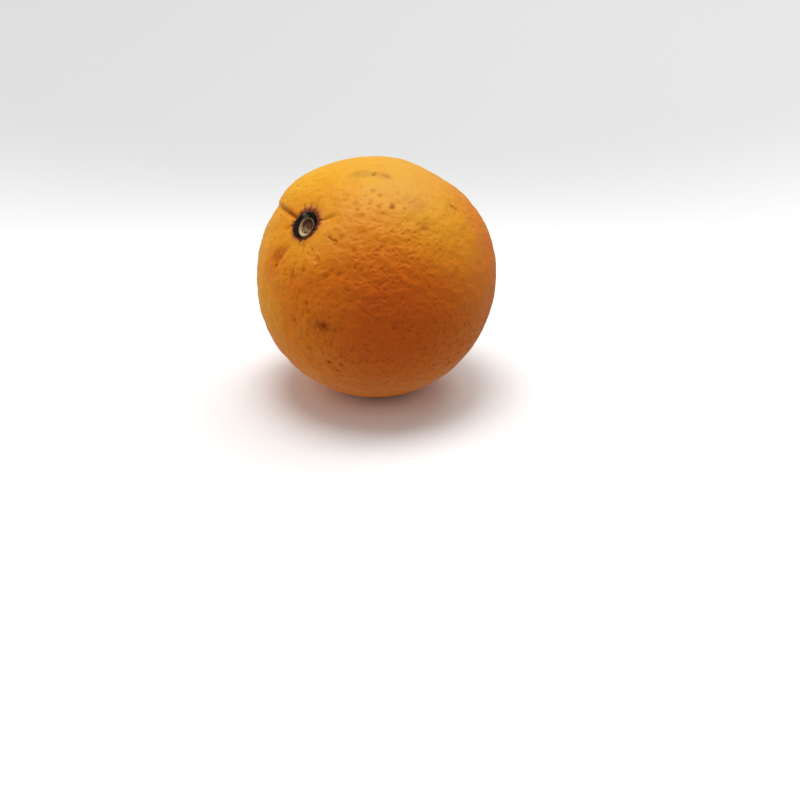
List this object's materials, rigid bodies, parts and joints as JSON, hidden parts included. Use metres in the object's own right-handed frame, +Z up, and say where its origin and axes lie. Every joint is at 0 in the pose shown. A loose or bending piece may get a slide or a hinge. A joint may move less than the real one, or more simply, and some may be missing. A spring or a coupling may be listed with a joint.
{
  "type": "orange",
  "caption": "Whole round orange lying on its side, with pebbled peel, a dried star-shaped calyx and a cut stem stub; rests on a small flat spot.",
  "frame": {"origin": "middle of the small flat spot that the orange rests on, straight below the fruit's centre", "axes": "+Z up from the surface it rests on; -Y towards the side it is first seen from, +X to the right; the stem end faces up and to the left of -Y"},
  "size_m": [0.0799, 0.0795, 0.0791],
  "materials": {
    "peel": "satin",
    "calyx": "matte",
    "stem": "matte"
  },
  "bodies": {
    "root": {"fruit": "peel", "calyx": "calyx", "stem_stub": "stem"}
  },
  "joints": []
}
